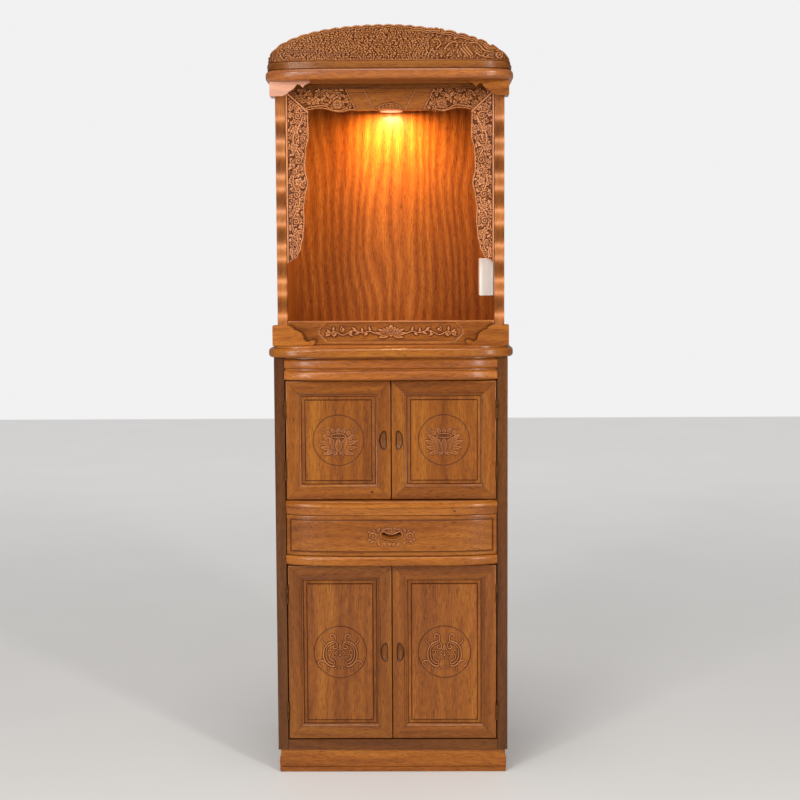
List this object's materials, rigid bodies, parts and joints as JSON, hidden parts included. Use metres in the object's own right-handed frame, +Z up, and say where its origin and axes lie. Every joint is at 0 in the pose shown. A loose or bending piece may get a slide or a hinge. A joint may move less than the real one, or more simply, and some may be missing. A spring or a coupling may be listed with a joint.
{
  "type": "household altar cabinet",
  "caption": "Tall carved hardwood altar cabinet: cupboards with hinged panelled doors, a bowed drawer, a table top, and an open lit niche under a carved valance, canopy and arched crown.",
  "frame": {"origin": "on the floor under the middle of the cabinet's outline", "axes": "+Z up, -Y out of the front, +X to the right as seen from the front"},
  "size_m": [0.618, 0.43, 1.8851],
  "materials": {
    "rosewood": "satin varnish",
    "carved_rosewood": "satin varnish, darker in the carving",
    "inner_wood": "plain oiled",
    "hinge_brass": "aged",
    "lamp_housing": "satin",
    "lamp_lens": "frosted, lit",
    "switch_plastic": "satin"
  },
  "bodies": {
    "cabinet": {"plinth": "rosewood", "bottom_rail": "rosewood", "side_left": "rosewood", "side_right": "rosewood", "drawer_rail": "rosewood", "step_rail": "rosewood", "frieze_rail_lower": "rosewood", "frieze_rail_upper": "rosewood", "table_top": "rosewood", "niche_base": "rosewood", "niche_back": "rosewood", "niche_side_left": "rosewood", "niche_side_right": "rosewood", "header_board": "rosewood", "foot_bracket_left": "rosewood", "foot_bracket_right": "rosewood", "eave_bracket_left": "rosewood", "eave_bracket_right": "rosewood", "canopy_board": "rosewood", "post_left": "carved_rosewood", "post_right": "carved_rosewood", "guard_board": "carved_rosewood", "valance": "carved_rosewood", "drop_left": "carved_rosewood", "drop_right": "carved_rosewood", "crown_board": "carved_rosewood", "back_board": "inner_wood", "cupboard_floor": "inner_wood", "shelf_under_drawer": "inner_wood", "shelf_over_drawer": "inner_wood", "stile_lower_left_hinge_low": "hinge_brass", "stile_lower_left_hinge_high": "hinge_brass", "stile_lower_right_hinge_low": "hinge_brass", "stile_lower_right_hinge_high": "hinge_brass", "stile_upper_left_hinge_low": "hinge_brass", "stile_upper_left_hinge_high": "hinge_brass", "stile_upper_right_hinge_low": "hinge_brass", "stile_upper_right_hinge_high": "hinge_brass", "lamp_housing": "lamp_housing", "lamp_lens": "lamp_lens", "switch_box": "switch_plastic"},
    "drawer": {"drawer_front": "carved_rosewood", "drawer_tray": "inner_wood"},
    "door_lower_left": {"door_lower_left_frame": "rosewood", "door_lower_left_panel": "carved_rosewood", "door_lower_left_hinge_low": "hinge_brass", "door_lower_left_hinge_high": "hinge_brass"},
    "door_lower_right": {"door_lower_right_frame": "rosewood", "door_lower_right_panel": "carved_rosewood", "door_lower_right_hinge_low": "hinge_brass", "door_lower_right_hinge_high": "hinge_brass"},
    "door_upper_left": {"door_upper_left_frame": "rosewood", "door_upper_left_panel": "carved_rosewood", "door_upper_left_hinge_low": "hinge_brass", "door_upper_left_hinge_high": "hinge_brass"},
    "door_upper_right": {"door_upper_right_frame": "rosewood", "door_upper_right_panel": "carved_rosewood", "door_upper_right_hinge_low": "hinge_brass", "door_upper_right_hinge_high": "hinge_brass"}
  },
  "joints": [
    {"name": "drawer_slide", "type": "slide", "parent": "cabinet", "child": "drawer", "axis": [0, -1, 0], "range_m": [0, 0.26]},
    {"name": "door_lower_left_hinge", "type": "hinge", "parent": "cabinet", "child": "door_lower_left", "pos_m": [-0.26675, -0.1801, 0.0883], "axis": [0, 0, -1], "range_deg": [0, 105]},
    {"name": "door_lower_right_hinge", "type": "hinge", "parent": "cabinet", "child": "door_lower_right", "pos_m": [0.26675, -0.1801, 0.0883], "axis": [0, 0, 1], "range_deg": [0, 105]},
    {"name": "door_upper_left_hinge", "type": "hinge", "parent": "cabinet", "child": "door_upper_left", "pos_m": [-0.26675, -0.1801, 0.7075], "axis": [0, 0, -1], "range_deg": [0, 105]},
    {"name": "door_upper_right_hinge", "type": "hinge", "parent": "cabinet", "child": "door_upper_right", "pos_m": [0.26675, -0.1801, 0.7075], "axis": [0, 0, 1], "range_deg": [0, 105]}
  ]
}
